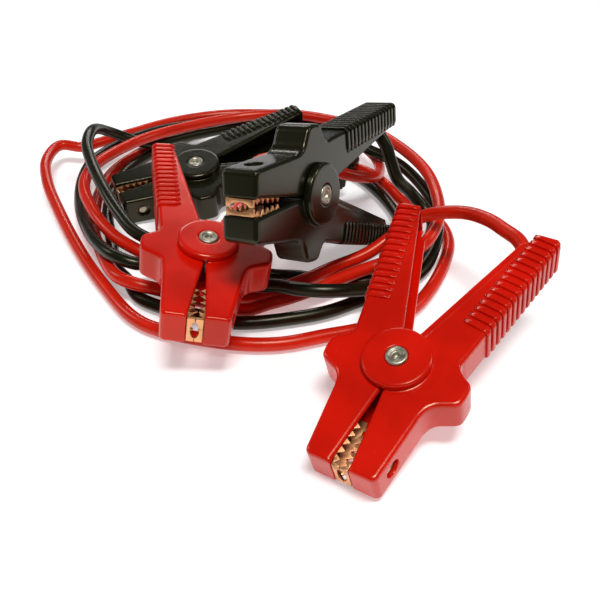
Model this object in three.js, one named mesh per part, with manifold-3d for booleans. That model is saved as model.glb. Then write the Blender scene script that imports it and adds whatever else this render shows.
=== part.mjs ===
// Car jumper cable: a red lead and a black lead, each with an insulated spring clamp at both ends,
// loosely coiled together. Millimetres, Z up, the floor at Z = 0, the front of the picture at -Y.
import * as THREE from "three";
import { mergeVertices } from "three/addons/utils/BufferGeometryUtils.js";
import Module from "manifold-3d";

const wasm = await Module();
wasm.setup();

// One clamp, in its own frame: X runs from the pivot to the jaw tips, Z along the pivot.
const HALF = 9; // half the thickness of an arm
const CHEEK = 1.7; // thickness of an arm's two cheeks
const DISC_R = 15;
const DISC_LOW = HALF + 0.3; // the disc clears the other arm by 0.3
const DISC_TOP = DISC_LOW + 3.7;
const LOBE_R = 10; // the round lobe of the lower cheek, under the other arm's disc
const SHANK_R = 3;
const JAW_HALF = HALF - CHEEK - 0.3; // half the width of a copper jaw, which clears the cheeks
const JAW_WALL = 1.1;
const TIP_X = 52.5;

// The leads.
const CABLE_R = 3.6;
const CABLE_SIDES = 8;
const CABLE_STEP = 15;

// The point on the floor under the middle of the four clamps, which is the part's origin.
const MIDDLE = [0.62, 24.72, -0.384];

function solid(geometry) {
  const g = geometry.index ? geometry.toNonIndexed() : geometry.clone();
  g.deleteAttribute("normal");
  g.deleteAttribute("uv");
  const merged = mergeVertices(g, 1e-4);
  return new wasm.Manifold(
    new wasm.Mesh({
      numProp: 3,
      vertProperties: merged.attributes.position.array,
      triVerts: new Uint32Array(merged.index.array),
    }),
  );
}

function geometryOf(manifold) {
  const m = manifold.getMesh();
  const positions = new Float32Array(m.numVert * 3);
  for (let i = 0; i < m.numVert; i++) {
    positions.set(m.vertProperties.subarray(i * m.numProp, i * m.numProp + 3), i * 3);
  }
  const g = new THREE.BufferGeometry();
  g.setAttribute("position", new THREE.BufferAttribute(positions, 3));
  g.setIndex(new THREE.BufferAttribute(new Uint32Array(m.triVerts), 1));
  return g;
}

// A prism over a plan outline, from z0 to z1, with an optional chamfer on its edges.
function prism(points, z0, z1, chamfer = 0) {
  const shape = new THREE.Shape(points.map(([x, y]) => new THREE.Vector2(x, y)));
  const g = new THREE.ExtrudeGeometry(shape, {
    depth: z1 - z0 - 2 * chamfer,
    bevelEnabled: chamfer > 0,
    bevelThickness: chamfer,
    bevelSize: chamfer,
    bevelOffset: -chamfer,
    bevelSegments: 1,
  });
  g.translate(0, 0, z0 + chamfer);
  return solid(g);
}

function cylinder(r, z0, z1, sides) {
  const profile = [
    new THREE.Vector2(0, z0),
    new THREE.Vector2(r, z0),
    new THREE.Vector2(r, z1),
    new THREE.Vector2(0, z1),
  ];
  const g = new THREE.LatheGeometry(profile, sides);
  g.rotateX(Math.PI / 2);
  return solid(g);
}

// Profile points are [radius, z], from the bottom of the axis to the top.
function lathe(profile, sides) {
  const g = new THREE.LatheGeometry(
    profile.map(([r, z]) => new THREE.Vector2(r, z)),
    sides,
  );
  g.rotateX(Math.PI / 2);
  return solid(g);
}

// The outer edge of the handle from its first ridge to its end, and the inner edge of the jaw.
const GRIP_START = [-25, 28];
const GRIP_END = [-87, 40.2];
const jawInner = (x) => 0.4 + ((x - 15) * 3.7) / (TIP_X - 15);

// The ridges of the grip, as the arm's outline follows them from the first to the last.
function grip() {
  const count = 15;
  const points = [GRIP_START];
  const alongX = (GRIP_END[0] - GRIP_START[0]) / (count + 0.4);
  const alongY = (GRIP_END[1] - GRIP_START[1]) / (count + 0.4);
  for (let i = 0; i < count; i++) {
    for (const [part, proud] of [
      [0.3, 0],
      [0.4, 1],
      [0.9, 1],
      [1, 0],
    ]) {
      points.push([
        GRIP_START[0] + alongX * (i + part) + 0.19 * proud,
        GRIP_START[1] + alongY * (i + part) + 0.98 * proud,
      ]);
    }
  }
  return points;
}

const outline = [
  [TIP_X, jawInner(TIP_X)],
  [TIP_X, 13.7],
  [51.9, 15],
  [50.6, 15.8],
  [20, 19.4],
  [16.4, 20.6],
  [13.6, 23],
  [11.6, 27],
  [10, 30.2],
  [7.4, 31.9],
  [1.4, 32.3],
  [-1.6, 31.4],
  [-3.6, 28.6],
  [-6, 25.8],
  [-8.6, 24.8],
  [-11.4, 25.4],
  ...grip(),
  [-85.8, 40],
  [-87.6, 39.4],
  [-88.5, 37.6],
  [-88.9, 29.2],
  [-14.3, 4.1],
  [-9.4, 2.6],
  [0, 1.2],
  [9.4, 0.4],
  [15, 0.4],
];

// The room inside the arm: open on the side that faces the other arm.
const hollow = [
  [50, -6],
  [50, 12.4],
  [48.6, 13.6],
  [19.6, 17],
  [15.2, 18.4],
  [11.6, 21.4],
  [9.4, 26],
  [7.8, 29],
  [2, 29.7],
  [-0.2, 28.6],
  [-3.4, 24],
  [-8, 22.2],
  [-12, 22.9],
  [-24.8, 25.5],
  [-85.2, 37.5],
  [-86.4, 36.4],
  [-86.7, 27],
  [-86.7, 12],
  [-60, -6],
];

function armSolid() {
  let arm = prism(outline, -HALF, HALF);
  // The upper cheek of the handle is a little wider on the inner side.
  arm = arm.add(
    prism(
      [
        [-81.6, 26.9],
        [-80, 24.3],
        [-15.4, 2.7],
        [-14.6, 4.6],
        [-40, 14],
        [-81.6, 28],
      ],
      HALF - CHEEK - 0.3,
      HALF - 0.2,
    ),
  );
  arm = arm.subtract(prism(hollow, -HALF + CHEEK, HALF - CHEEK));
  // The lower lobe, and the clearance round the other arm's lobe above.
  arm = arm.add(cylinder(LOBE_R, -HALF, -HALF + CHEEK, 20));
  // The disc, with the part of the cheek under it built up to meet it.
  arm = arm.add(
    prism(
      [
        [-13, 4.7],
        [-9.4, 4.3],
        [-5.6, 9.2],
        [0, 10.8],
        [5.6, 9.2],
        [10.4, 2],
        [13.6, 2],
        [12.4, 6],
        [8, 11.2],
        [0, 13.8],
        [-8, 11.2],
        [-12.4, 6.4],
      ],
      HALF - CHEEK + 0.2,
      DISC_LOW + 0.4,
    ),
  );
  arm = arm.subtract(cylinder(LOBE_R + 0.3, HALF - CHEEK - 1, DISC_LOW, 20));
  arm = arm.add(
    lathe(
      [
        [0, DISC_LOW],
        [DISC_R, DISC_LOW],
        [DISC_R, DISC_TOP - 0.7],
        [DISC_R - 0.7, DISC_TOP],
        [0, DISC_TOP],
      ],
      30,
    ),
  );
  arm = arm.subtract(cylinder(SHANK_R + 0.08, -HALF - 1, DISC_TOP + 1, 14));
  arm = arm.subtract(cylinder(5.2, DISC_TOP - 1, DISC_TOP + 1, 14));
  // The hole in the outer wall of the jaw.
  const hole = new THREE.CylinderGeometry(4.1, 4.1, 12, 14);
  hole.translate(41, 17, 0);
  arm = arm.subtract(solid(hole));
  return arm;
}

// The copper jaw: a folded strip with a toothed flange inside each cheek and a front plate.
function jawSolid() {
  const line = [
    [24.5, 3.2],
    [30.2, 3.2],
  ];
  const teeth = 5;
  for (let i = 0; i < teeth; i++) {
    const x = 31.2 + 3.9 * i;
    line.push([x, jawInner(x) + 1.1]);
    line.push([x + 2, 0.35 + 0.2 * i]);
  }
  line.push([50.7, jawInner(50.7) - 0.9]);
  const plan = [
    ...line,
    [51.1, 0.15],
    [52.2, 0.15],
    [52.2, 3.6],
    [49.7, 3.6],
    [49.7, 11.6],
    [48.2, 13.1],
    [24.5, 15.9],
  ];
  let jaw = prism(plan, -JAW_HALF, JAW_HALF);
  const inside = [
    [20, -2],
    [51.1, -2],
    [51.1, 2.7],
    [48.6, 2.7],
    [48.6, 11.3],
    [47.7, 12.1],
    [20, 15.3],
  ];
  jaw = jaw.subtract(prism(inside, -JAW_HALF + JAW_WALL, JAW_HALF - JAW_WALL));
  // Half of the lens-shaped opening in the front plate.
  const lens = new THREE.CylinderGeometry(1, 1, 6, 14);
  lens.rotateZ(Math.PI / 2);
  lens.scale(1, 2.1, 4.9);
  lens.translate(51.5, 0, 0);
  jaw = jaw.subtract(solid(lens));
  // The hole for the jaw's rivet.
  const hole = new THREE.CylinderGeometry(1.9, 1.9, 6, 10);
  hole.translate(41, 13.5, 0);
  return jaw.subtract(solid(hole));
}

function jawRivetSolid() {
  const g = new THREE.LatheGeometry(
    [
      [0, -1.9],
      [2.9, -1.9],
      [2.9, -1.1],
      [1.6, -1.1],
      [1.6, 0.9],
      [3.1, 0.9],
      [3.1, 1.5],
      [2.2, 2.3],
      [0, 2.3],
    ].map(([r, z]) => new THREE.Vector2(r, z)),
    10,
  );
  g.rotateZ(-0.115);
  g.translate(41, 13.42, 0);
  return solid(g);
}

// The pivot's heads sit in the discs' recesses and stand 0.5 proud of them.
function pivotSolid() {
  const top = DISC_TOP + 0.5;
  return lathe(
    [
      [0, -top],
      [4, -top],
      [4.8, -top + 0.6],
      [4.8, -top + 1.2],
      [SHANK_R, -top + 1.2],
      [SHANK_R, top - 1.2],
      [4.8, top - 1.2],
      [4.8, top - 0.6],
      [4, top],
      [0, top],
    ],
    14,
  );
}

const ARM = geometryOf(armSolid());
const JAW = geometryOf(jawSolid());
const JAW_RIVET = geometryOf(jawRivetSolid());
const PIVOT = geometryOf(pivotSolid());

const RED = new THREE.MeshStandardMaterial({ color: 0xc81408 });
const BLACK = new THREE.MeshStandardMaterial({ color: 0x1c1c16 });
const COPPER = new THREE.MeshStandardMaterial({ color: 0xb5713c });
const STEEL = new THREE.MeshStandardMaterial({ color: 0xb9b4a4 });

// Each clamp: the pivot's centre, then the directions of its X (to the jaws) and its Y (to the arm
// that holds the cable).
const CLAMPS = [
  {
    name: "red_front",
    skin: RED,
    at: [42.3, -80.4, 23.6],
    x: [-0.498, -0.821, -0.278],
    y: [0.845, -0.531, 0.055],
  },
  {
    name: "red_left",
    skin: RED,
    at: [-46.5, -9.4, 34.3],
    x: [-0.003, -0.998, -0.065],
    y: [0.986, 0.008, -0.167],
  },
  {
    name: "black_centre",
    skin: BLACK,
    at: [1.2, -2, 66.7],
    x: [-0.507, -0.802, 0.317],
    y: [0.006, 0.364, 0.931],
  },
  {
    name: "black_rear",
    skin: BLACK,
    at: [-66.3, 109.2, 15.1],
    x: [-0.907, -0.414, -0.072],
    y: [0.42, -0.896, -0.144],
  },
];

// The red lead, from inside the handle of the front clamp to inside the handle of the left one.
const RED_ROUTE = [
  [36, -110.5, 16], [42, -103, 18.5], [51, -92.5, 22.5], [60.5, -80.5, 27], [73.5, -66, 33],
  [89, -53, 39], [99, -43.5, 43], [105, -37, 45.5], [107.5, -31, 47.5], [105.5, -25, 48.5],
  [104, -17, 49.5], [100, -6.5, 48.5], [94.5, 6, 47], [84.5, 19.5, 43], [67, 29, 35],
  [53, 29.5, 23.5],
  [36.5, 21.3, 15.5], [16.5, 12.5, 12], [6.5, 5.5, 11.5], [-5.5, 2, 8], [-17, 1, 4.5],
  [-29.5, -2.5, 4], [-50, 8, 4], [-66, 16, 4], [-80, 24, 9], [-91, 27.5, 14],
  [-105.5, 38.5, 16], [-120.5, 58, 19], [-134, 88, 21], [-134, 110, 22], [-124.5, 135, 21],
  [-106, 162, 19.5], [-73, 184, 19.5], [-37.5, 197, 20], [-7.5, 194, 22.5], [21.5, 173.5, 27],
  [48, 152, 29], [65.5, 126, 29], [78, 95.5, 28], [81, 67, 26.5], [77.5, 39.5, 26],
  [68, 22, 22], [56.5, 16, 17.5], [41.5, 14.5, 12.5], [24, 5.5, 11.5], [9.5, -3.5, 11],
  [-5.5, -7, 7], [-17, -9, 4.5], [-28.5, -13.5, 4], [-52, -6, 4], [-75, -2.5, 9],
  [-87, -1.5, 12], [-98, 5, 12.5], [-117, 42, 8], [-124, 60, 4.5], [-129.5, 84, 4],
  [-132.5, 112, 4], [-129.5, 140, 4], [-121, 160, 4], [-105, 185, 4], [-80, 212, 4],
  [-44, 232, 4], [-10, 228, 4], [14, 205, 4], [28, 175, 4], [37, 148, 4],
  [49, 136, 4], [59, 118, 4], [67, 98, 4], [80, 84, 4], [87, 68, 4],
  [88, 50, 4], [82.5, 30, 4], [70, 3.5, 4], [57, -14, 4], [36, -27, 4],
  [12.5, -34, 4], [-10, -40, 4], [-33.5, -39.5, 4], [-72, -29, 4], [-86, -19.5, 4],
  [-106, 6.5, 4], [-127.5, 39.5, 5], [-150, 79.5, 8], [-165.5, 111, 12], [-173, 138.5, 14],
  [-169, 159, 14.5], [-154, 159, 13], [-144, 169, 12], [-124, 186, 11.5], [-100, 204, 11.5],
  [-70, 217, 11.5], [-40, 221, 11.5], [-5, 216, 11.5], [22, 196, 11.5], [40, 172, 11.5],
  [51, 150, 11.5], [54, 134, 11.5], [52, 118, 13.5], [46, 104, 18.5], [34, 95, 24],
  [18, 92.5, 30], [2, 94, 34.5], [-14, 94.5, 37], [-25, 89, 37.5], [-27.5, 81, 37],
  [-22.5, 74.5, 36], [-17, 70, 34.5], [-15.5, 63.5, 34], [-17, 54.5, 33.5], [-21, 40.5, 33.5],
  [-27.5, 20.5, 33], [-31, 0.5, 32.5], [-33, -15.5, 31.5], [-35.5, -29.5, 31], [-36.5, -39.5, 30.5],
];

// The black lead, from inside the handle of the centre clamp to inside the handle of the rear one.
const BLACK_ROUTE = [
  [-14, -22.5, 85.5], [-9, -14, 83.5], [-2, -2, 81.5], [6.5, 11.5, 78], [16.5, 29, 75],
  [26.5, 47.5, 74.5], [34, 60, 74], [38, 67, 72.5], [41.5, 70, 67.5], [48.5, 66, 58], [51.5, 63, 50],
  [56, 60.5, 40], [64, 63, 31], [72, 59, 23], [77, 51, 17.5], [75, 42, 14.5],
  [68, 25, 12.5], [54, 4, 12.5], [42, -6, 13.5], [15, -15.5, 18], [0, -13.5, 17.5],
  [-12, -7.5, 15], [-30, -5, 14.5], [-50, 3, 16.5], [-62, 13, 19], [-68, 18, 20],
  [-91.5, 32, 23], [-102, 45, 26], [-114.5, 65.5, 30], [-128.5, 94.5, 34], [-135, 112, 37],
  [-136.5, 129, 38], [-136, 143, 34], [-131, 157, 25], [-122, 165, 17], [-108, 167, 12],
  [-74, 184, 11.5], [-38, 200, 11.5], [-7.5, 194, 15], [20, 178, 19], [45, 143, 20],
  [66, 120, 19], [79, 92.5, 15.5], [83, 78, 12.5], [82.5, 60, 11], [79.5, 45.5, 8],
  [70, 23.5, 4.5], [51, 4, 4], [33, -5, 4], [15.5, -14.5, 4], [0, -19.5, 4],
  [-32, -24, 4], [-56, -17, 4], [-75, -10, 4], [-86, -2.5, 4], [-95, 13, 4],
  [-102, 22, 4], [-107, 34, 4], [-112, 52, 4], [-120.5, 80, 4], [-124, 109, 4],
  [-121, 137, 4], [-113, 157, 4], [-98, 180, 4], [-75, 203, 4], [-43, 224, 4],
  [-12, 217, 4], [8, 197, 4], [20, 170, 4], [28, 146, 4], [41, 130, 4],
  [51, 112, 4], [58, 92, 4], [63, 70, 4], [64, 50, 4], [62, 34, 4],
  [54, 22, 4], [42, 13, 4], [28, 10, 4], [14, 12, 4], [0, 16, 4],
  [-13, 17, 4], [-25, 18, 5], [-42, 17, 9.5], [-62, 15, 12], [-78, 16, 13.5],
  [-87.5, 10.5, 16.5], [-99.5, 14, 19], [-113, 29.5, 17], [-128.5, 59.5, 12.5], [-140, 92, 8.5],
  [-144, 115, 10], [-143, 138, 11.5], [-134, 160, 11.5], [-118, 180, 11.5], [-100, 193, 11.5],
  [-80, 201, 11.5], [-42, 212.5, 11.5], [-8, 207, 11.5], [14, 190, 11.5], [28, 170, 11.5],
  [36, 150, 12], [36.5, 136, 13.5], [28, 128, 16.5], [19, 123, 17], [16.5, 116.5, 16.5],
  [12, 111.5, 16], [4, 109.5, 15.5], [-10, 107, 15], [-31, 104.5, 14.5], [-50.5, 99.5, 13.5],
  [-66, 94.5, 12.5], [-79.5, 91, 12], [-89, 87.5, 11.5],
];

const car_jumper_cable = new THREE.Group();
car_jumper_cable.name = "car_jumper_cable";
const laid = new THREE.Group();
laid.position.set(-MIDDLE[0], -MIDDLE[1], -MIDDLE[2]);
car_jumper_cable.add(laid);

function lead(name, route, material) {
  const section = new THREE.Shape();
  for (let i = 0; i < CABLE_SIDES; i++) {
    const a = (2 * Math.PI * (i + 0.5)) / CABLE_SIDES;
    const p = [CABLE_R * Math.cos(a), CABLE_R * Math.sin(a)];
    if (i === 0) section.moveTo(...p);
    else section.lineTo(...p);
  }
  section.closePath();
  const points = route.map((p) => new THREE.Vector3(...p));
  const curve = new THREE.CatmullRomCurve3(points, false, "centripetal");
  curve.arcLengthDivisions = 2000;
  const g = new THREE.ExtrudeGeometry(section, {
    steps: Math.round(curve.getLength() / CABLE_STEP),
    extrudePath: curve,
    bevelEnabled: false,
  });
  const mesh = new THREE.Mesh(g, material);
  mesh.name = name;
  laid.add(mesh);
}

function place(name, geometry, material, matrix) {
  const g = geometry.clone();
  g.applyMatrix4(matrix);
  g.computeVertexNormals();
  const mesh = new THREE.Mesh(g, material);
  mesh.name = name;
  laid.add(mesh);
}

function frameOf(clamp) {
  const x = new THREE.Vector3(...clamp.x).normalize();
  const y = new THREE.Vector3(...clamp.y);
  y.addScaledVector(x, -x.dot(y)).normalize();
  const z = new THREE.Vector3().crossVectors(x, y);
  const m = new THREE.Matrix4().makeBasis(x, y, z);
  m.setPosition(...clamp.at);
  return m;
}

const OVER = new THREE.Matrix4().makeRotationX(Math.PI);

for (const clamp of CLAMPS) {
  const m = frameOf(clamp);
  const other = m.clone().multiply(OVER);
  place(clamp.name + "_cable_arm", ARM, clamp.skin, m);
  place(clamp.name + "_free_arm", ARM, clamp.skin, other);
  place(clamp.name + "_cable_jaw", JAW, COPPER, m);
  place(clamp.name + "_free_jaw", JAW, COPPER, other);
  place(clamp.name + "_cable_jaw_rivet", JAW_RIVET, STEEL, m);
  place(clamp.name + "_free_jaw_rivet", JAW_RIVET, STEEL, other);
  place(clamp.name + "_pivot_rivet", PIVOT, STEEL, m);
}

lead("red_lead", RED_ROUTE, RED);
lead("black_lead", BLACK_ROUTE, BLACK);

export default car_jumper_cable;
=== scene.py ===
"""Car jumper cable: two leads loosely coiled together, with an insulated spring clamp at each end."""

import math

import bmesh
import bpy
import numpy as np
from mathutils import Matrix, Vector


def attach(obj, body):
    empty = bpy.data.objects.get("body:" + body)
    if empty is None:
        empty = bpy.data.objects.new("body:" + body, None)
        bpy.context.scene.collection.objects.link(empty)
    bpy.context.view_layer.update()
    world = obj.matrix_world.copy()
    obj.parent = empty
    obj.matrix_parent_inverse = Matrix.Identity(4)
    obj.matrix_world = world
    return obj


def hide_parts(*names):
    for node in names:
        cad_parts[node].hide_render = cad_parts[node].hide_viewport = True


bl_info = {
    "name": "Car Jumper Cable",
    "version": (1, 0, 0),
    "blender": (4, 5, 0),
    "location": "3D View > Sidebar > Jumper Cable",
    "description": "Builds the leads, clamps and finishes of a coiled car jumper cable",
    "category": "Add Mesh",
}

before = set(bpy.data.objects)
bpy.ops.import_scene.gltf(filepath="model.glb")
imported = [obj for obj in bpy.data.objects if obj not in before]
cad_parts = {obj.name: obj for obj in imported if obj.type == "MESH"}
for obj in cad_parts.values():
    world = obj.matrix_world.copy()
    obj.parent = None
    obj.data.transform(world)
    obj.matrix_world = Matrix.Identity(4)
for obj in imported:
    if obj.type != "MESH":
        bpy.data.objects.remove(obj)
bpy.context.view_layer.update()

MM = 0.001
TINY = 1e-6
ROOT = "leads_and_cable_arms"

# The floor: half its width, and how far it lies under the pieces, in metres.
FLOOR_HALF = 3.0
FLOOR_DROP = 0.0004
CORNERS = ((-1, -1), (1, -1), (1, 1), (-1, 1))

# Straight steps between two points of a route, before it is divided evenly.
CURVE_STEPS = 24

# How an arm's fused mesh is finished: rounds of smoothing, the share of its faces that is kept, and
# how strongly its large faces set the shading.
EASE_ROUNDS = 5
FACES_KEPT = 0.26
FLATS_WEIGHT = 60

# Where a jaw's rivet goes through its arm, in the clamp's own millimetres, and its lean in radians.
JAW_RIVET_X = 41.0
JAW_RIVET_Y = 13.42
JAW_RIVET_LEAN = 0.115

# How far the edges of a jaw's strip are rounded, in metres.
JAW_EDGE = 0.00022

# The lights: where each one stands, what it faces, its width and height, all in metres, and its watts.
SOFTBOXES = (
    ("front", (0.1, -0.5, 1.4), (0.0, 0.0, 0.0), (0.5, 0.24), 14.5),
    ("back", (-0.1, 1.3, 0.8), (0.0, 0.05, 0.0), (0.8, 0.14), 3.5),
    ("right", (1.1, 0.1, 0.8), (0.0, 0.0, 0.0), (0.2, 0.5), 2.2),
    ("left", (-1.1, 0.35, 0.8), (0.0, 0.0, 0.0), (0.2, 0.4), 2.0),
)
ROOM_LIGHT = 0.1

# The two arms of a clamp, and whether each one turns on the pivot.
ARMS = (("cable", False), ("free", True))

# The photograph's camera, in the millimetres of the routes below: its place, its tilt down from level
# in degrees, and its focal length in picture widths.
CAMERA_AT = (0.0, -294.6, 230.9)
CAMERA_TILT = 38.09
CAMERA_FOCAL = 693.7 / 600
SENSOR = 36.0

# The point on the floor under the middle of the clamps, in the millimetres of the routes below.
MIDDLE = (0.62, 24.72, -0.384)

# Each clamp: its pivot's centre, the way to its jaws, and the way to the arm that holds the cable.
CLAMPS = {
    "red_front": ((42.3, -80.4, 23.6), (-0.498, -0.821, -0.278), (0.845, -0.531, 0.055)),
    "red_left": ((-46.5, -9.4, 34.3), (-0.003, -0.998, -0.065), (0.986, 0.008, -0.167)),
    "black_centre": ((1.2, -2.0, 66.7), (-0.507, -0.802, 0.317), (0.006, 0.364, 0.931)),
    "black_rear": ((-66.3, 109.2, 15.1), (-0.907, -0.414, -0.072), (0.42, -0.896, -0.144)),
}

# The red lead, from inside the handle of the front clamp to inside the handle of the left one.
RED_ROUTE = [
    (36, -110.5, 16), (42, -103, 18.5), (51, -92.5, 22.5), (60.5, -80.5, 27), (73.5, -66, 33),
    (89, -53, 39), (99, -43.5, 43), (105, -37, 45.5), (107.5, -31, 47.5), (105.5, -25, 48.5),
    (104, -17, 49.5), (100, -6.5, 48.5), (94.5, 6, 47), (84.5, 19.5, 43), (67, 29, 35),
    (53, 29.5, 23.5), (36.5, 21.3, 15.5), (16.5, 12.5, 12), (6.5, 5.5, 11.5), (-5.5, 2, 8),
    (-17, 1, 4.5), (-29.5, -2.5, 4), (-50, 8, 4), (-66, 16, 4), (-80, 24, 9),
    (-91, 27.5, 14), (-105.5, 38.5, 16), (-120.5, 58, 19), (-134, 88, 21), (-134, 110, 22),
    (-124.5, 135, 21), (-106, 162, 19.5), (-73, 184, 19.5), (-37.5, 197, 20), (-7.5, 194, 22.5),
    (21.5, 173.5, 27), (48, 152, 29), (65.5, 126, 29), (78, 95.5, 28), (81, 67, 26.5),
    (77.5, 39.5, 26), (68, 22, 22), (56.5, 16, 17.5), (41.5, 14.5, 12.5), (24, 5.5, 11.5),
    (9.5, -3.5, 11), (-5.5, -7, 7), (-17, -9, 4.5), (-28.5, -13.5, 4), (-52, -6, 4),
    (-75, -2.5, 9), (-87, -1.5, 12), (-98, 5, 12.5), (-117, 42, 8), (-124, 60, 4.5),
    (-129.5, 84, 4), (-132.5, 112, 4), (-129.5, 140, 4), (-121, 160, 4), (-105, 185, 4),
    (-80, 212, 4), (-44, 232, 4), (-10, 228, 4), (14, 205, 4), (28, 175, 4),
    (37, 148, 4), (49, 136, 4), (59, 118, 4), (67, 98, 4), (80, 84, 4),
    (87, 68, 4), (88, 50, 4), (82.5, 30, 4), (70, 3.5, 4), (57, -14, 4),
    (36, -27, 4), (12.5, -34, 4), (-10, -40, 4), (-33.5, -39.5, 4), (-72, -29, 4),
    (-86, -19.5, 4), (-106, 6.5, 4), (-127.5, 39.5, 5), (-150, 79.5, 8), (-165.5, 111, 12),
    (-173, 138.5, 14), (-169, 159, 14.5), (-154, 159, 13), (-144, 169, 12), (-124, 186, 11.5),
    (-100, 204, 11.5), (-70, 217, 11.5), (-40, 221, 11.5), (-5, 216, 11.5), (22, 196, 11.5),
    (40, 172, 11.5), (51, 150, 11.5), (54, 134, 11.5), (52, 118, 13.5), (46, 104, 18.5),
    (34, 95, 24), (18, 92.5, 30), (2, 94, 34.5), (-14, 94.5, 37), (-25, 89, 37.5),
    (-27.5, 81, 37), (-22.5, 74.5, 36), (-17, 70, 34.5), (-15.5, 63.5, 34), (-17, 54.5, 33.5),
    (-21, 40.5, 33.5), (-27.5, 20.5, 33), (-31, 0.5, 32.5), (-33, -15.5, 31.5), (-35.5, -29.5, 31),
    (-36.5, -39.5, 30.5),
]

# The black lead, from inside the handle of the centre clamp to inside the handle of the rear one.
BLACK_ROUTE = [
    (-14, -22.5, 85.5), (-9, -14, 83.5), (-2, -2, 81.5), (6.5, 11.5, 78), (16.5, 29, 75),
    (26.5, 47.5, 74.5), (34, 60, 74), (38, 67, 72.5), (41.5, 70, 67.5), (48.5, 66, 58),
    (51.5, 63, 50), (56, 60.5, 40), (64, 63, 31), (72, 59, 23), (77, 51, 17.5),
    (75, 42, 14.5), (68, 25, 12.5), (54, 4, 12.5), (42, -6, 13.5), (15, -15.5, 18),
    (0, -13.5, 17.5), (-12, -7.5, 15), (-30, -5, 14.5), (-50, 3, 16.5), (-62, 13, 19),
    (-68, 18, 20), (-91.5, 32, 23), (-102, 45, 26), (-114.5, 65.5, 30), (-128.5, 94.5, 34),
    (-135, 112, 37), (-136.5, 129, 38), (-136, 143, 34), (-131, 157, 25), (-122, 165, 17),
    (-108, 167, 12), (-74, 184, 11.5), (-38, 200, 11.5), (-7.5, 194, 15), (20, 178, 19),
    (45, 143, 20), (66, 120, 19), (79, 92.5, 15.5), (83, 78, 12.5), (82.5, 60, 11),
    (79.5, 45.5, 8), (70, 23.5, 4.5), (51, 4, 4), (33, -5, 4), (15.5, -14.5, 4),
    (0, -19.5, 4), (-32, -24, 4), (-56, -17, 4), (-75, -10, 4), (-86, -2.5, 4),
    (-95, 13, 4), (-102, 22, 4), (-107, 34, 4), (-112, 52, 4), (-120.5, 80, 4),
    (-124, 109, 4), (-121, 137, 4), (-113, 157, 4), (-98, 180, 4), (-75, 203, 4),
    (-43, 224, 4), (-12, 217, 4), (8, 197, 4), (20, 170, 4), (28, 146, 4),
    (41, 130, 4), (51, 112, 4), (58, 92, 4), (63, 70, 4), (64, 50, 4),
    (62, 34, 4), (54, 22, 4), (42, 13, 4), (28, 10, 4), (14, 12, 4),
    (0, 16, 4), (-13, 17, 4), (-25, 18, 5), (-42, 17, 9.5), (-62, 15, 12),
    (-78, 16, 13.5), (-87.5, 10.5, 16.5), (-99.5, 14, 19), (-113, 29.5, 17), (-128.5, 59.5, 12.5),
    (-140, 92, 8.5), (-144, 115, 10), (-143, 138, 11.5), (-134, 160, 11.5), (-118, 180, 11.5),
    (-100, 193, 11.5), (-80, 201, 11.5), (-42, 212.5, 11.5), (-8, 207, 11.5), (14, 190, 11.5),
    (28, 170, 11.5), (36, 150, 12), (36.5, 136, 13.5), (28, 128, 16.5), (19, 123, 17),
    (16.5, 116.5, 16.5), (12, 111.5, 16), (4, 109.5, 15.5), (-10, 107, 15), (-31, 104.5, 14.5),
    (-50.5, 99.5, 13.5), (-66, 94.5, 12.5), (-79.5, 91, 12), (-89, 87.5, 11.5),
]

# One arm's outline, in the clamp's own millimetres: X to the jaws, Y away from the other arm.
GRIP_START = (-25.0, 28.0)
GRIP_END = (-87.0, 40.2)
TIP = [(52.4, 4.1), (52.4, 13.6), (51.7, 15.0), (50.4, 15.8)]
EAR = [
    (20.0, 19.4), (16.4, 20.6), (13.6, 23.0), (11.6, 27.0), (10.0, 30.2), (7.4, 31.9),
    (1.4, 32.3), (-1.6, 31.4), (-3.6, 28.6), (-6.0, 25.8), (-8.6, 24.8), (-11.4, 25.4),
]
INNER = [(-88.5, 38.6), (-88.9, 29.2), (-14.3, 4.1), (-9.4, 2.6), (0.0, 1.2), (9.4, 0.4), (15.0, 0.4)]
HOLLOW = [
    (50.0, -6.0), (50.0, 12.4), (48.6, 13.6), (19.6, 17.0), (15.2, 18.4), (11.6, 21.4),
    (9.4, 26.0), (7.8, 29.0), (2.0, 29.7), (-0.2, 28.6), (-3.4, 24.0), (-8.0, 22.2),
    (-12.0, 22.9), (-24.8, 25.5), (-85.2, 37.5), (-86.4, 36.4), (-86.7, 27.0), (-86.7, 12.0),
    (-60.0, -6.0),
]


class ClampSettings(bpy.types.PropertyGroup):
    """Sizes of one clamp, in millimetres"""

    half: bpy.props.FloatProperty(
        name="Half thickness", description="Half the thickness of an arm, mm", default=9.0, min=5.0
    )
    cheek: bpy.props.FloatProperty(
        name="Cheek", description="Thickness of an arm's two cheeks, mm", default=1.7, min=0.8
    )
    disc_radius: bpy.props.FloatProperty(
        name="Disc radius", description="Radius of the pivot disc, mm", default=15.0, min=8.0
    )
    ridges: bpy.props.IntProperty(
        name="Ridges", description="Grip ridges on each handle", default=15, min=3, max=30
    )
    ridge_height: bpy.props.FloatProperty(
        name="Ridge height", description="How far a grip ridge stands proud, mm", default=1.0, min=0.2
    )
    softness: bpy.props.FloatProperty(
        name="Edge radius", description="Radius of the moulded edges, mm", default=1.7, min=0.2
    )
    grain: bpy.props.FloatProperty(
        name="Mesh grain", description="Voxel that fuses an arm's forms, mm", default=0.32, min=0.2
    )


class LeadSettings(bpy.types.PropertyGroup):
    """Sizes of the two leads"""

    diameter: bpy.props.FloatProperty(
        name="Diameter", description="Outer diameter of a lead", default=0.0072, unit="LENGTH"
    )
    sides: bpy.props.IntProperty(
        name="Sides", description="Sides of a lead's section", default=24, min=8, max=48
    )


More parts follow.
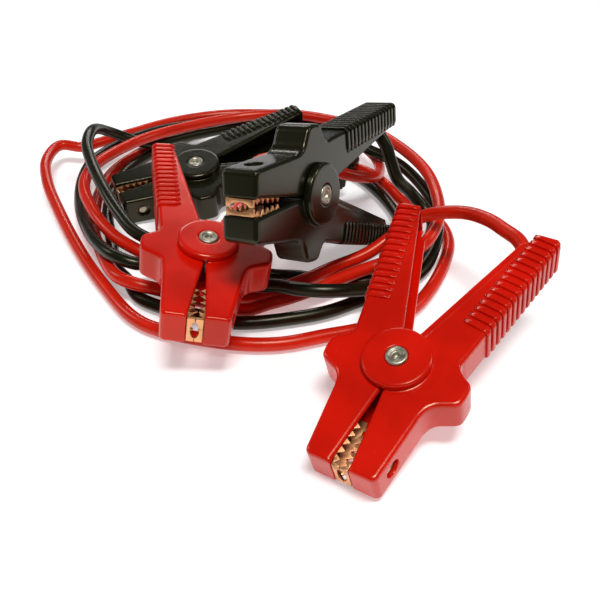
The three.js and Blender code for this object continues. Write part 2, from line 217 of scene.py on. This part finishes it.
class FinishSettings(bpy.types.PropertyGroup):
    """Colours of the pieces"""

    red_shell: bpy.props.FloatVectorProperty(
        name="Red shell",
        description="Red moulded handles",
        subtype="COLOR",
        default=(0.68, 0.006, 0.0005),
    )
    black_shell: bpy.props.FloatVectorProperty(
        name="Black shell",
        description="Black moulded handles",
        subtype="COLOR",
        default=(0.0055, 0.0062, 0.0018),
    )
    red_cable: bpy.props.FloatVectorProperty(
        name="Red cable",
        description="Red insulation",
        subtype="COLOR",
        default=(0.68, 0.014, 0.003),
    )
    black_cable: bpy.props.FloatVectorProperty(
        name="Black cable",
        description="Black insulation",
        subtype="COLOR",
        default=(0.006, 0.0068, 0.002),
    )
    copper: bpy.props.FloatVectorProperty(
        name="Copper", description="Jaws", subtype="COLOR", default=(0.72, 0.36, 0.17)
    )
    steel: bpy.props.FloatVectorProperty(
        name="Steel", description="Rivets", subtype="COLOR", default=(0.52, 0.49, 0.38)
    )


class Wire:
    """A value in a node tree: sums, differences and products of wires add their Math nodes."""

    def __init__(self, tree, socket):
        self.tree = tree
        self.socket = socket

    def math(self, operation, *values):
        node = self.tree.nodes.new("ShaderNodeMath")
        node.operation = operation
        for slot, value in zip(node.inputs, values):
            if isinstance(value, Wire):
                self.tree.links.new(value.socket, slot)
            else:
                slot.default_value = value
        return Wire(self.tree, node.outputs[0])

    def __add__(self, other):
        return self.math("ADD", self, other)

    def __radd__(self, other):
        return self.math("ADD", other, self)

    def __sub__(self, other):
        return self.math("SUBTRACT", self, other)

    def __rsub__(self, other):
        return self.math("SUBTRACT", other, self)

    def __mul__(self, other):
        return self.math("MULTIPLY", self, other)

    def __rmul__(self, other):
        return self.math("MULTIPLY", other, self)

    def between(self, low, high):
        """0 at low and below, 1 at high and above, smooth between them."""
        node = self.tree.nodes.new("ShaderNodeMapRange")
        node.interpolation_type = "SMOOTHSTEP"
        self.tree.links.new(self.socket, node.inputs["Value"])
        node.inputs["From Min"].default_value = low
        node.inputs["From Max"].default_value = high
        return Wire(self.tree, node.outputs["Result"])


# Where a Mix node keeps its factor, its two colours and their mixture among its sockets.
COLOUR_MIX_INPUTS = (0, 6, 7)
COLOUR_MIX_OUTPUT = 2


class Finish:
    """A material under construction."""

    def __init__(self, name, **fixed):
        self.material = bpy.data.materials.new(name)
        self.material.use_nodes = True
        self.tree = self.material.node_tree
        self.shader = self.tree.nodes["Principled BSDF"]
        for socket, value in fixed.items():
            self.shader.inputs[socket.replace("_", " ")].default_value = value
        coords = self.node("ShaderNodeTexCoord")
        self.place = coords.outputs["Object"]
        self.uv = coords.outputs["UV"]

    def give(self, slot, value):
        """Gives an input a wire, a socket or a fixed value."""
        if isinstance(value, Wire):
            self.tree.links.new(value.socket, slot)
        elif isinstance(value, bpy.types.NodeSocket):
            self.tree.links.new(value, slot)
        else:
            slot.default_value = value

    def node(self, kind, settings=None, **values):
        node = self.tree.nodes.new(kind)
        for key, value in (settings or {}).items():
            setattr(node, key, value)
        for key, value in values.items():
            self.give(node.inputs[key.replace("_", " ")], value)
        return node

    def noise(self, scale, detail=3.0, roughness=0.5, vector=None, stretch=None):
        source = self.place if vector is None else vector
        if stretch:
            source = self.node("ShaderNodeMapping", Vector=source, Scale=stretch).outputs[0]
        made = self.node(
            "ShaderNodeTexNoise", Vector=source, Scale=scale, Detail=detail, Roughness=roughness
        )
        return Wire(self.tree, made.outputs["Fac"])

    def mix(self, factor, first, second):
        """A colour between first and second, each a colour or a socket."""
        node = self.node("ShaderNodeMix", {"data_type": "RGBA"})
        for place, value in zip(COLOUR_MIX_INPUTS, (factor, first, second)):
            self.give(node.inputs[place], value)
        return node.outputs[COLOUR_MIX_OUTPUT]

    def feed(self, socket, value):
        """Gives an input of the material's shader its value."""
        self.give(self.shader.inputs[socket], value)

    def bump(self, height, distance, strength=1.0):
        node = self.node("ShaderNodeBump", Height=height, Distance=distance, Strength=strength)
        self.feed("Normal", node.outputs["Normal"])


def shade(colour, factor):
    """The colour, lighter or darker by a factor."""
    return (*(min(1.0, c * factor) for c in colour), 1.0)


def moulded(name, colour):
    """Glossy moulded plastic: a faint flow in the colour, an orange-peel skin and handling marks."""
    look = Finish(name, IOR=1.45, Specular_Tint=(1.0, 0.9, 0.62, 1.0))
    flow = look.noise(38.0, 3.0, 0.55)
    marks = look.noise(900.0, 2.0, 0.6, stretch=(1.0, 0.12, 1.0))
    base = look.mix(flow.between(0.3, 0.72), shade(colour, 0.86), shade(colour, 1.08))
    look.feed("Base Color", base)
    look.feed("Roughness", 0.17 + 0.1 * flow + 0.05 * marks.between(0.52, 0.8))
    peel = look.noise(1500.0, 2.0, 0.5)
    look.bump(0.6 * peel + 0.4 * look.noise(260.0, 2.0, 0.5), 0.00005, 0.4)
    return look.material


def insulation(name, colour):
    """Extruded insulation: satin, with faint streaks along the lead and a slightly uneven skin."""
    look = Finish(name, IOR=1.43, Specular_Tint=(1.0, 0.92, 0.68, 1.0))
    streaks = look.noise(1.0, 3.0, 0.6, vector=look.uv, stretch=(9.0, 14.0, 1.0))
    cloud = look.noise(55.0, 3.0, 0.55)
    base = look.mix(
        (0.6 * streaks + 0.4 * cloud).between(0.32, 0.7), shade(colour, 0.8), shade(colour, 1.12)
    )
    look.feed("Base Color", base)
    look.feed("Roughness", 0.2 + 0.12 * cloud + 0.05 * streaks)
    look.bump(0.6 * look.noise(420.0, 3.0, 0.5) + 0.4 * streaks, 0.00012, 0.5)
    return look.material


def copper_plate(name, colour):
    """Pressed copper-plated strip: brushed, with browner patches where it has tarnished."""
    look = Finish(name, Metallic=1.0)
    brushed = look.noise(240.0, 4.0, 0.6, stretch=(1.0, 1.0, 7.0))
    patch = look.noise(130.0, 4.0, 0.6).between(0.42, 0.72)
    base = look.mix(patch, shade(colour, 1.1), shade(colour, 0.55))
    look.feed("Base Color", base)
    look.feed("Roughness", 0.3 + 0.2 * patch + 0.12 * brushed)
    look.bump(brushed, 0.00008, 0.5)
    return look.material


def rivet_steel(name, colour):
    """Plated steel: small dents from setting, with a warmer film in the low places."""
    look = Finish(name, Metallic=1.0)
    dents = look.noise(520.0, 3.0, 0.55)
    base = look.mix(dents.between(0.35, 0.75), shade(colour, 0.72), shade(colour, 1.1))
    look.feed("Base Color", base)
    look.feed("Roughness", 0.3 + 0.22 * dents)
    look.bump(dents, 0.00012, 0.6)
    return look.material


MAKERS = {
    "red_shell": moulded,
    "black_shell": moulded,
    "red_cable": insulation,
    "black_cable": insulation,
    "copper": copper_plate,
    "steel": rivet_steel,
}


def finish(slot):
    """The material of a slot, made on its first use."""
    name = slot + "_finish"
    colours = bpy.context.scene.jumper_finishes
    return bpy.data.materials.get(name) or MAKERS[slot](name, tuple(getattr(colours, slot)))


def link(name, mesh):
    """A piece with this mesh, in the scene."""
    piece = bpy.data.objects.new(name, mesh)
    bpy.context.scene.collection.objects.link(piece)
    return piece


def settled(piece):
    """The piece's mesh with its modifiers applied."""
    graph = bpy.context.evaluated_depsgraph_get()
    mesh = bpy.data.meshes.new_from_object(piece.evaluated_get(graph))
    old = piece.data
    piece.modifiers.clear()
    piece.data = mesh
    bpy.data.meshes.remove(old)
    return piece


def faced_outward(mesh):
    """The mesh with every face turned outward."""
    made = bmesh.new()
    made.from_mesh(mesh)
    bmesh.ops.recalc_face_normals(made, faces=made.faces)
    made.to_mesh(mesh)
    made.free()
    return mesh


def dress(piece, body, slot, node):
    """Gives a piece its finish and its body, and hides the node of the frame that it replaces."""
    piece.data.materials.clear()
    piece.data.materials.append(finish(slot))
    for face in piece.data.polygons:
        face.material_index = 0
    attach(piece, body)
    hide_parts(node)
    return piece


def prism(name, points, z0, z1, softness=0.0):
    """A prism over an outline, with rounded upper and lower edges."""
    made = bmesh.new()
    low = [made.verts.new((x, y, z0)) for x, y in points]
    high = [made.verts.new((x, y, z1)) for x, y in points]
    count = len(points)
    made.faces.new(low[::-1])
    made.faces.new(high)
    for i in range(count):
        j = (i + 1) % count
        made.faces.new((low[i], low[j], high[j], high[i]))
    bmesh.ops.recalc_face_normals(made, faces=made.faces)
    if softness:
        rims = [e for e in made.edges if abs(e.verts[0].co.z - e.verts[1].co.z) < TINY]
        bmesh.ops.bevel(
            made,
            geom=rims,
            offset=softness,
            segments=3,
            profile=0.5,
            affect="EDGES",
            clamp_overlap=True,
        )
    mesh = bpy.data.meshes.new(name)
    made.to_mesh(mesh)
    made.free()
    return link(name, mesh)


def turned(name, profile, sides, matrix=None, flats=0.0):
    """A solid of revolution about Z: profile holds (radius, z) from one end of the axis to the other,
    and rings smaller than flats are six-sided."""
    sixth, bulge = math.pi / 3, 1.07
    verts, faces, rings = [], [], []
    for r, z in profile:
        if r == 0:
            rings.append([len(verts)])
            verts.append((0.0, 0.0, z))
        else:
            start = len(verts)
            rings.append(list(range(start, start + sides)))
            for i in range(sides):
                a = 2 * math.pi * i / sides
                off_middle = (a % sixth) - sixth / 2
                flat = r * math.cos(sixth / 2) / math.cos(off_middle) * bulge
                out = flat if r < flats else r
                verts.append((out * math.cos(a), out * math.sin(a), z))
    for a, b in zip(rings, rings[1:]):
        for i in range(sides):
            j = (i + 1) % sides
            quad = [a[i % len(a)], a[j % len(a)], b[j % len(b)], b[i % len(b)]]
            corners = list(dict.fromkeys(quad))
            if len(corners) > 2:
                faces.append(corners)
    if len(rings[0]) > 1 and len(rings[-1]) > 1:
        a, b = rings[-1], rings[0]
        for i in range(sides):
            j = (i + 1) % sides
            faces.append([a[i], a[j], b[j], b[i]])
    mesh = bpy.data.meshes.new(name)
    mesh.from_pydata(verts, [], faces)
    if matrix is not None:
        mesh.transform(matrix)
    faced_outward(mesh).shade_smooth()
    return link(name, mesh)


def carve(piece, *cutters):
    """Cuts the cutters out of a piece, and removes them."""
    for cutter in cutters:
        cut = piece.modifiers.new("cut", "BOOLEAN")
        cut.operation = "DIFFERENCE"
        cut.solver = "EXACT"
        cut.object = cutter
        settled(piece)
        bpy.data.objects.remove(cutter)
    return piece


def joined(name, pieces):
    """One piece of several, which are removed."""
    made = bmesh.new()
    for piece in pieces:
        made.from_mesh(piece.data)
        bpy.data.objects.remove(piece)
    mesh = bpy.data.meshes.new(name)
    made.to_mesh(mesh)
    made.free()
    return link(name, mesh)


def rounded(points, steps=4):
    """The outline with a smooth curve through its points."""
    out = []
    p = [np.array(q) for q in (points[0], *points, points[-1])]
    for a, b, c, d in zip(p, p[1:], p[2:], p[3:]):
        for k in range(steps):
            t = k / steps
            bend = (2 * a - 5 * b + 4 * c - d) * t * t + (3 * b - a - 3 * c + d) * t**3
            out.append(tuple(0.5 * (2 * b + (c - a) * t + bend)))
    out.append(tuple(points[-1]))
    return out


def smooth_route(points, step=3.0):
    """Points every step millimetres along the centripetal curve through a route, in metres."""
    p = [np.array(q, float) for q in points]
    p = [2 * p[0] - p[1], *p, 2 * p[-1] - p[-2]]
    dense = []
    for a, b, c, d in zip(p, p[1:], p[2:], p[3:]):
        ta, tb, tc = (float(np.linalg.norm(v)) ** 0.5 for v in (b - a, c - b, d - c))
        m1 = ((b - a) / ta - (c - a) / (ta + tb) + (c - b) / tb) * tb
        m2 = ((c - b) / tb - (d - b) / (tb + tc) + (d - c) / tc) * tb
        for k in range(CURVE_STEPS):
            t = k / CURVE_STEPS
            dense.append(
                b * (2 * t**3 - 3 * t**2 + 1)
                + m1 * (t**3 - 2 * t**2 + t)
                + c * (3 * t**2 - 2 * t**3)
                + m2 * (t**3 - t**2)
            )
    dense.append(p[-2])
    dense = np.array(dense)
    along = np.concatenate([[0.0], np.cumsum(np.linalg.norm(np.diff(dense, axis=0), axis=1))])
    at = np.linspace(0.0, along[-1], int(along[-1] / step) + 1)
    line = np.stack([np.interp(at, along, dense[:, k]) for k in range(3)], axis=1)
    return (line - np.array(MIDDLE)) * MM, along[-1] * MM


def tube(name, line, radius, sides):
    """A closed tube along a line, with its UV map running round (U) and along in metres (V)."""
    tangent = np.gradient(line, axis=0)
    tangent /= np.linalg.norm(tangent, axis=1)[:, None]
    side = np.cross(tangent[0], (0.0, 0.0, 1.0))
    side /= np.linalg.norm(side)
    rows = []
    for point, ahead in zip(line, tangent):
        side = side - ahead * side.dot(ahead)
        side /= np.linalg.norm(side)
        up = np.cross(side, ahead)
        angles = np.arange(sides) * 2 * math.pi / sides
        rows.append(point + radius * (np.outer(np.cos(angles), side) + np.outer(np.sin(angles), up)))
    count = len(line)
    verts = np.concatenate(rows)
    faces = []
    for low in range(0, (count - 1) * sides, sides):
        high = low + sides
        for i in range(sides):
            j = (i + 1) % sides
            faces.append((low + i, low + j, high + j, high + i))
    faces.append(tuple(range(sides))[::-1])
    faces.append(tuple((count - 1) * sides + i for i in range(sides)))
    mesh = bpy.data.meshes.new(name)
    mesh.from_pydata(verts.tolist(), [], faces)
    layer = mesh.uv_layers.new(name="UVMap")
    length = np.concatenate([[0.0], np.cumsum(np.linalg.norm(np.diff(line, axis=0), axis=1))])
    for face in mesh.polygons:
        wrap = face.index % sides == sides - 1
        for loop, vertex in zip(face.loop_indices, face.vertices):
            i = vertex % sides
            u = 1.0 if wrap and i == 0 else i / sides
            layer.data[loop].uv = (u, length[vertex // sides])
    faced_outward(mesh).shade_smooth()
    return link(name, mesh)


class JUMPER_OT_leads(bpy.types.Operator):
    """The red and the black lead, each along its own route"""

    bl_idname = "jumper.leads"
    bl_label = "Leads"

    def execute(self, context):
        sizes = context.scene.jumper_leads
        for colour, route in (("red", RED_ROUTE), ("black", BLACK_ROUTE)):
            line, length = smooth_route(route)
            piece = tube(colour + "_cable", line, sizes.diameter / 2, sizes.sides)
            dress(piece, ROOT, colour + "_cable", colour + "_lead")
        return {"FINISHED"}


def clamp_frame(name, turned_over=False):
    """From a clamp's own millimetres to the model's metres, for an arm as it is or turned over."""
    at, ahead, up = CLAMPS[name]
    x = Vector(ahead).normalized()
    y = Vector(up)
    y = (y - x * x.dot(y)).normalized()
    z = x.cross(y)
    place = Matrix((x, y, z)).transposed().to_4x4()
    place.translation = Vector(at) - Vector(MIDDLE)
    scale = Matrix.Scale(MM, 4)
    over = Matrix.Rotation(math.pi, 4, "X") if turned_over else Matrix.Identity(4)
    return scale @ place @ over


def body_of(name, free):
    """The body that an arm of a clamp rides."""
    return name + "_free" if free else ROOT


def grip_axes():
    """Along the handle from its first ridge to its last, and outwards from it."""
    start, end = Vector((*GRIP_START, 0.0)), Vector((*GRIP_END, 0.0))
    along = (end - start).normalized()
    return start, end, along, Vector((along.y, -along.x, 0.0))


def ridge_mesh(half, height):
    """One grip ridge: a rounded bar over the upper face, the outer wall and the lower face. It follows
    the wall's rounded corners, reaches inward over both faces and rises along a ramp at its ends. The
    path holds how far out and how high each step is, and which way is out of the wall there."""
    along, outward = grip_axes()[2:]
    corner, reach, sink, ramp = 1.7, 11.6, 0.9, 2.4
    flat = half - corner
    path = [(s, half, 0.0, 1.0) for s in np.linspace(-reach, -corner, 9)]
    for a in np.linspace(0, math.pi / 2, 6)[1:]:
        ns, nz = math.sin(a), math.cos(a)
        path.append((-corner + corner * ns, flat + corner * nz, ns, nz))
    path += [(0.0, z, 1.0, 0.0) for z in np.linspace(flat, -flat, 7)[1:]]
    for a in np.linspace(0, math.pi / 2, 6)[1:]:
        ns, nz = math.cos(a), -math.sin(a)
        path.append((-corner + corner * ns, -flat + corner * nz, ns, nz))
    path += [(s, -half, 0.0, -1.0) for s in np.linspace(-corner, -reach, 9)[1:]]
    edge = [(1.22, 0.3), (1.14, 0.66), (0.92, 0.9), (0.6, 1.0)]
    across = [(-1.22, -sink), *((-u, h) for u, h in edge), *edge[::-1], (1.22, -sink)]
    verts, faces = [], []
    for s, z, ns, nz in path:
        rise = min(1.0, (reach + s) / ramp)
        for u, h in across:
            lift = h * height * rise if h > 0 else h
            point = along * u + outward * (s + ns * lift) + Vector((0.0, 0.0, z + nz * lift))
            verts.append(tuple(point))
    wide = len(across)
    for r in range(len(path) - 1):
        for i in range(wide):
            j = (i + 1) % wide
            faces.append((r * wide + i, r * wide + j, (r + 1) * wide + j, (r + 1) * wide + i))
    faces.append(tuple(range(wide))[::-1])
    last = (len(path) - 1) * wide
    faces.append(tuple(last + i for i in range(wide)))
    mesh = bpy.data.meshes.new("ridge")
    mesh.from_pydata(verts, [], faces)
    return faced_outward(mesh)


def ridge_row(count, half, height):
    """The row of grip ridges, repeated along the handle by geometry nodes."""
    start, end, along = grip_axes()[:3]
    pitch = (end - start).length / (count + 0.4)
    pattern = link("ridge", ridge_mesh(half, height))
    tree = bpy.data.node_groups.new("Grip ridges", "GeometryNodeTree")
    ports = tree.interface
    ports.new_socket("Geometry", in_out="INPUT", socket_type="NodeSocketGeometry")
    number = ports.new_socket("Ridges", in_out="INPUT", socket_type="NodeSocketInt")
    first = ports.new_socket("First", in_out="INPUT", socket_type="NodeSocketVector")
    offset = ports.new_socket("Pitch", in_out="INPUT", socket_type="NodeSocketVector")
    ports.new_socket("Geometry", in_out="OUTPUT", socket_type="NodeSocketGeometry")
    given = tree.nodes.new("NodeGroupInput")
    line = tree.nodes.new("GeometryNodeMeshLine")
    line.mode = "OFFSET"
    copies = tree.nodes.new("GeometryNodeInstanceOnPoints")
    real = tree.nodes.new("GeometryNodeRealizeInstances")
    coat = tree.nodes.new("GeometryNodeSetMaterial")
    result = tree.nodes.new("NodeGroupOutput")
    coat.inputs["Material"].default_value = finish("red_shell")
    for a, b in (
        (given.outputs["Ridges"], line.inputs["Count"]),
        (given.outputs["First"], line.inputs["Start Location"]),
        (given.outputs["Pitch"], line.inputs["Offset"]),
        (line.outputs["Mesh"], copies.inputs["Points"]),
        (given.outputs["Geometry"], copies.inputs["Instance"]),
        (copies.outputs["Instances"], real.inputs["Geometry"]),
        (real.outputs["Geometry"], coat.inputs["Geometry"]),
        (coat.outputs["Geometry"], result.inputs["Geometry"]),
    ):
        tree.links.new(a, b)
    repeat = pattern.modifiers.new("ridges", "NODES")
    repeat.node_group = tree
    repeat[number.identifier] = count
    repeat[first.identifier] = tuple(start + along * pitch * 0.7)
    repeat[offset.identifier] = tuple(along * pitch)
    return settled(pattern)


def bar(radius, low, high, bore=0.0):
    """The profile of a round bar or washer."""
    return [(bore, low), (radius, low), (radius, high), (bore, high)]


def arm_mesh(sizes):
    """One arm of a clamp in the clamp's own millimetres: walls, ear, disc, lobe and grip fused."""
    half, cheek, disc = sizes.half, sizes.cheek, sizes.disc_radius
    outline = TIP + rounded(EAR) + [GRIP_START, GRIP_END] + INNER
    shell = prism("arm", outline, -half, half, sizes.softness)
    place = Matrix.Translation((JAW_RIVET_X, 17, 0)) @ Matrix.Rotation(math.pi / 2, 4, "X")
    carve(
        shell,
        prism("hollow", HOLLOW, -half + cheek, half - cheek),
        turned("room", bar(10.3, half - cheek - 1, half + 2), 64),
        turned("hole", bar(4.1, -9, 9), 40, place),
    )
    strip = prism(
        "strip",
        [(-82.2, 26.9), (-80.6, 24.3), (-15.4, 2.7), (-14.6, 4.6), (-40, 14), (-81.6, 29)],
        half - cheek - 0.3,
        half - 0.2,
        0.3,
    )
    web = prism(
        "web",
        [
            (-13, 4.7), (-9.4, 4.3), (-5.6, 9.2), (0, 10.8), (5.6, 9.2), (10.4, 2),
            (13.6, 2), (12.4, 6), (8, 11.2), (0, 13.8), (-8, 11.2), (-12.4, 6.4),
        ],
        half - cheek + 0.2,
        9.7,
    )
    bore, recess = 3.1, 5.2
    lobe = turned("lobe", bar(10, -half, -half + cheek, bore), 64)
    low, top = half + 0.3, half + 4.0
    plate = turned(
        "disc",
        [
            (bore, low), (disc - 0.3, low), (disc, low + 0.3), (disc, top - 1.3),
            (disc - 0.12, top - 0.85), (disc - 0.5, top - 0.38), (disc - 1.1, top - 0.1),
            (disc - 1.8, top), (recess + 0.4, top), (recess + 0.05, top - 0.15),
            (recess, top - 0.4), (recess, top - 1), (bore, top - 1),
        ],
        96,
    )
    form = joined("arm_form", (shell, strip, web, lobe, plate))
    fuse = form.modifiers.new("fuse", "REMESH")
    fuse.mode = "VOXEL"
    fuse.voxel_size = sizes.grain
    fuse.use_smooth_shade = True
    ease = form.modifiers.new("ease", "SMOOTH")
    ease.factor = 0.5
    ease.iterations = EASE_ROUNDS
    thin = form.modifiers.new("thin", "DECIMATE")
    thin.ratio = FACES_KEPT
    settled(form)
    arm = joined("arm", (form, ridge_row(sizes.ridges, half, sizes.ridge_height)))
    arm.data.shade_smooth()
    flat = arm.modifiers.new("flat", "WEIGHTED_NORMAL")
    flat.mode = "FACE_AREA"
    flat.weight = FLATS_WEIGHT
    settled(arm)
    mesh = arm.data
    bpy.data.objects.remove(arm)
    return mesh


class JUMPER_OT_arms(bpy.types.Operator):
    """The eight moulded arms: each clamp has two of the same moulding, turned over on each other"""

    bl_idname = "jumper.arms"
    bl_label = "Arms"

    def execute(self, context):
        form = arm_mesh(context.scene.jumper_clamps)
        for name in CLAMPS:
            for side, free in ARMS:
                mesh = form.copy()
                mesh.transform(clamp_frame(name, free))
                piece = link(f"{name}_{side}_handle", mesh)
                dress(piece, body_of(name, free), name.split("_")[0] + "_shell", f"{name}_{side}_arm")
        return {"FINISHED"}


def softened(name, node, width):
    """A copy of a solid of the frame, merged, with its edges rounded."""
    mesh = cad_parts[node].data.copy()
    made = bmesh.new()
    made.from_mesh(mesh)
    bmesh.ops.remove_doubles(made, verts=made.verts, dist=TINY)
    bmesh.ops.dissolve_limit(made, angle_limit=math.radians(2), verts=made.verts, edges=made.edges)
    made.to_mesh(mesh)
    made.free()
    mesh.name = name
    piece = link(name, mesh)
    soft = piece.modifiers.new("soft", "BEVEL")
    soft.width = width
    soft.segments = 2
    soft.limit_method = "ANGLE"
    soft.angle_limit = math.radians(32)
    soft.harden_normals = False
    settled(piece)
    piece.data.shade_smooth()
    return piece


class JUMPER_OT_jaws(bpy.types.Operator):
    """The copper jaws, each a toothed strip folded inside its arm"""

    bl_idname = "jumper.jaws"
    bl_label = "Jaws"

    def execute(self, context):
        for name in CLAMPS:
            for side, free in ARMS:
                node = f"{name}_{side}_jaw"
                piece = softened(f"{name}_{side}_toothed_jaw", node, JAW_EDGE)
                dress(piece, body_of(name, free), "copper", node)
        return {"FINISHED"}


class JUMPER_OT_rivets(bpy.types.Operator):
    """The pivot rivets and the small rivets that hold the jaws"""

    bl_idname = "jumper.rivets"
    bl_label = "Rivets"

    def execute(self, context):
        small = [
            (0.0, -1.9), (2.7, -1.9), (2.9, -1.7), (2.9, -1.1), (1.6, -1.1), (1.6, 0.9),
            (3.1, 0.9), (3.1, 1.4), (2.8, 1.9), (2.2, 2.2), (1.2, 2.3), (0.0, 2.3),
        ]
        head = [
            (0.0, 11.5), (1.58, 11.5), (1.62, 12.7), (1.74, 12.96), (2.1, 13.04), (2.75, 13.02),
            (3.0, 13.08), (3.2, 13.3), (3.5, 13.46), (4.0, 13.48), (4.45, 13.3), (4.75, 12.95),
            (4.8, 12.6), (4.75, 12.32), (3.0, 12.32),
        ]
        profile = head + [(r, -z) for r, z in head[::-1]]
        for name in CLAMPS:
            node = name + "_pivot_rivet"
            piece = turned(name + "_pivot", profile, 60, clamp_frame(name), flats=1.7)
            dress(piece, ROOT, "steel", node)
            for side, free in ARMS:
                node = f"{name}_{side}_jaw_rivet"
                place = (
                    clamp_frame(name, free)
                    @ Matrix.Translation((JAW_RIVET_X, JAW_RIVET_Y, 0.0))
                    @ Matrix.Rotation(-math.pi / 2 - JAW_RIVET_LEAN, 4, "X")
                )
                piece = turned(f"{name}_{side}_small_rivet", small, 32, place)
                dress(piece, body_of(name, free), "steel", node)
        return {"FINISHED"}


def softbox(name, place, aim, size, power):
    """A rectangular light that faces a point."""
    lamp = bpy.data.lights.new(name, "AREA")
    lamp.shape = "RECTANGLE"
    lamp.size, lamp.size_y = size
    lamp.energy = power
    box = bpy.data.objects.new(name, lamp)
    bpy.context.scene.collection.objects.link(box)
    box.location = place
    box.rotation_euler = (Vector(aim) - Vector(place)).to_track_quat("-Z", "Y").to_euler()


class JUMPER_OT_stage(bpy.types.Operator):
    """The camera at the photograph's place, a pale floor and soft lights"""

    bl_idname = "jumper.stage"
    bl_label = "Stage"

    def execute(self, context):
        scene = context.scene
        scene.view_settings.view_transform = "Standard"
        lens = bpy.data.cameras.new("camera")
        lens.sensor_width = SENSOR
        lens.lens = SENSOR * CAMERA_FOCAL
        camera = bpy.data.objects.new("camera", lens)
        scene.collection.objects.link(camera)
        camera.location = (Vector(CAMERA_AT) - Vector(MIDDLE)) * MM
        camera.rotation_euler = (math.radians(90 - CAMERA_TILT), 0.0, 0.0)
        scene.camera = camera
        mesh = bpy.data.meshes.new("floor")
        corners = [(x * FLOOR_HALF, y * FLOOR_HALF, -FLOOR_DROP) for x, y in CORNERS]
        mesh.from_pydata(corners, [], [(0, 1, 2, 3)])
        floor = link("floor", mesh)
        look = Finish("floor_finish", Roughness=0.9, Specular_IOR_Level=0.1, Emission_Strength=0.36)
        pale = look.mix(look.noise(3.0), (0.93, 0.93, 0.93, 1.0), (0.95, 0.95, 0.95, 1.0))
        look.feed("Base Color", pale)
        look.feed("Emission Color", pale)
        floor.data.materials.append(look.material)
        world = scene.world or bpy.data.worlds.new("room")
        scene.world = world
        world.use_nodes = True
        room = world.node_tree.nodes["Background"]
        room.inputs["Color"].default_value = (1.0, 1.0, 1.0, 1.0)
        room.inputs["Strength"].default_value = ROOM_LIGHT
        for name, place, aim, size, power in SOFTBOXES:
            softbox(name, place, aim, size, power)
        return {"FINISHED"}


class JUMPER_PT_panel(bpy.types.Panel):
    """Lists the steps and the settings"""

    bl_idname = "JUMPER_PT_panel"
    bl_label = "Jumper Cable"
    bl_space_type = "VIEW_3D"
    bl_region_type = "UI"
    bl_category = "Jumper Cable"

    def draw(self, context):
        layout = self.layout
        for group in ("jumper_clamps", "jumper_leads", "jumper_finishes"):
            settings = getattr(context.scene, group)
            box = layout.box()
            for key in settings.__annotations__:
                box.prop(settings, key)
        for step in STEPS:
            layout.operator(step.bl_idname)


STEPS = (JUMPER_OT_stage, JUMPER_OT_leads, JUMPER_OT_arms, JUMPER_OT_jaws, JUMPER_OT_rivets)
CLASSES = (ClampSettings, LeadSettings, FinishSettings, *STEPS, JUMPER_PT_panel)


def register():
    for cls in CLASSES:
        bpy.utils.register_class(cls)
    bpy.types.Scene.jumper_clamps = bpy.props.PointerProperty(type=ClampSettings)
    bpy.types.Scene.jumper_leads = bpy.props.PointerProperty(type=LeadSettings)
    bpy.types.Scene.jumper_finishes = bpy.props.PointerProperty(type=FinishSettings)


def unregister():
    del bpy.types.Scene.jumper_finishes
    del bpy.types.Scene.jumper_leads
    del bpy.types.Scene.jumper_clamps
    for cls in reversed(CLASSES):
        bpy.utils.unregister_class(cls)


def main():
    register()
    for step in (
        bpy.ops.jumper.stage,
        bpy.ops.jumper.leads,
        bpy.ops.jumper.arms,
        bpy.ops.jumper.jaws,
        bpy.ops.jumper.rivets,
    ):
        step()


if __name__ == "__main__":
    main()
